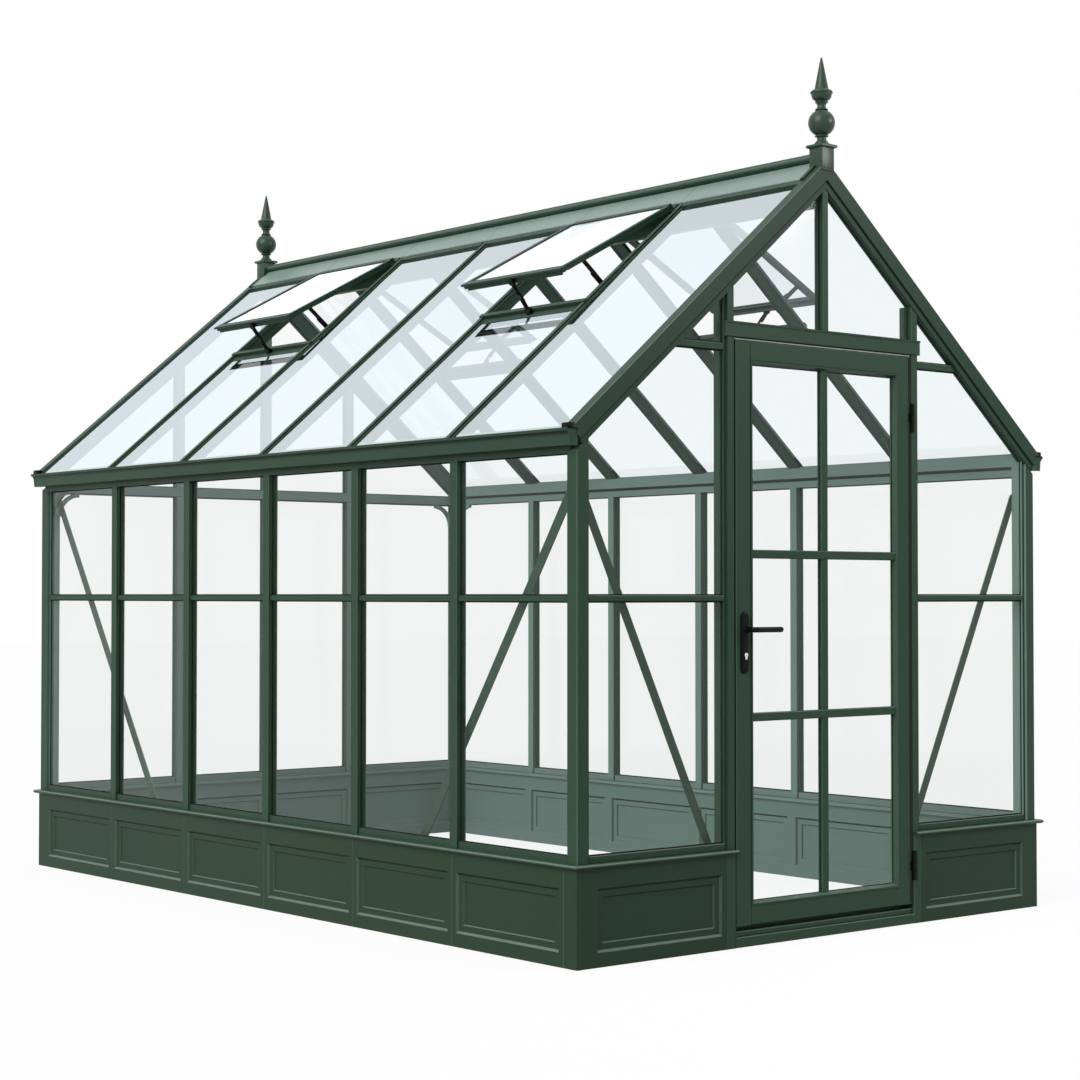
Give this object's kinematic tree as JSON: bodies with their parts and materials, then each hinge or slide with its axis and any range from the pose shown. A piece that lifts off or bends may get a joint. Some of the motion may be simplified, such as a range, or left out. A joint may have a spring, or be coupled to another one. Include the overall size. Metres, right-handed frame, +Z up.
{
  "type": "glass greenhouse",
  "caption": "Free-standing glass greenhouse with a panelled base, a metal frame, a pitched roof with lifted vents, gutters, turned finials and a hinged glazed door in one gable.",
  "frame": {"origin": "on the ground, under the middle of the base's plan", "axes": "+Z up; +Y from the door gable to the rear gable, along the ridge; the door is in the -Y gable and opens toward -Y; +X across the gables, to the right of someone who faces the door"},
  "size_m": [2.56, 3.9495, 3.2757],
  "materials": {
    "base": "dark green powder coat, satin",
    "frame": "dark green powder coat, satin",
    "ridge": "pale grey-green powder coat that mirrors the sky",
    "black_metal": "black coated, satin",
    "steel": "satin nickel",
    "glass": "clear toughened glass"
  },
  "bodies": {
    "frame": {"side_base_walls": "base", "gable_base_walls": "base", "side_sills": "frame", "gable_sills": "frame", "right_wall_glass": "glass", "left_wall_glass": "glass", "front_gable_glass": "glass", "rear_gable_glass": "glass", "eaves_beams": "frame", "gutters": "frame", "right_roof_glass": "glass", "left_roof_glass": "glass", "right_mullions": "frame", "left_mullions": "frame", "corner_posts": "frame", "right_wall_rails": "frame", "left_wall_rails": "frame", "door_posts": "frame", "hinge_post_plinth": "frame", "lock_post_plinth": "frame", "door_head": "frame", "door_threshold": "frame", "door_side_stops": "frame", "door_cross_stops": "frame", "front_gable_bars": "frame", "rear_tie_beam": "frame", "rear_mullions": "frame", "rear_rails": "frame", "finials": "frame", "verges_right": "frame", "verges_left": "frame", "ridge_beam": "frame", "ridge_plates": "ridge", "ridge_roll": "ridge", "ridge_rails": "frame", "right_rafters": "frame", "left_rafters": "frame", "vent_glass": "glass", "vent_side_rails": "frame", "vent_end_rails": "frame", "vent_cills": "frame", "vent_stays": "black_metal", "braces": "frame", "knee_brackets": "frame", "frame_hinges": "black_metal"},
    "door": {"leaf_hinges": "black_metal", "door_stiles": "frame", "door_rails": "frame", "door_beads": "frame", "door_glass": "glass", "door_cross_bars": "frame", "door_upright_bars": "frame", "lock_plates": "black_metal", "lock_cylinder": "steel"},
    "handle": {"door_handle": "black_metal"}
  },
  "joints": [
    {"name": "door_hinge", "type": "hinge", "parent": "frame", "child": "door", "pos_m": [0.47625, -1.934, 1.128], "axis": [0, 0, 1], "range_deg": [0, 100]},
    {"name": "handle_turn", "type": "hinge", "parent": "door", "child": "handle", "pos_m": [-0.4325, -1.906, 1.137], "axis": [0, 1, 0], "range_deg": [0, 45], "stiffness_Nm_per_rad": 1.2, "springref_deg": -9.74}
  ]
}
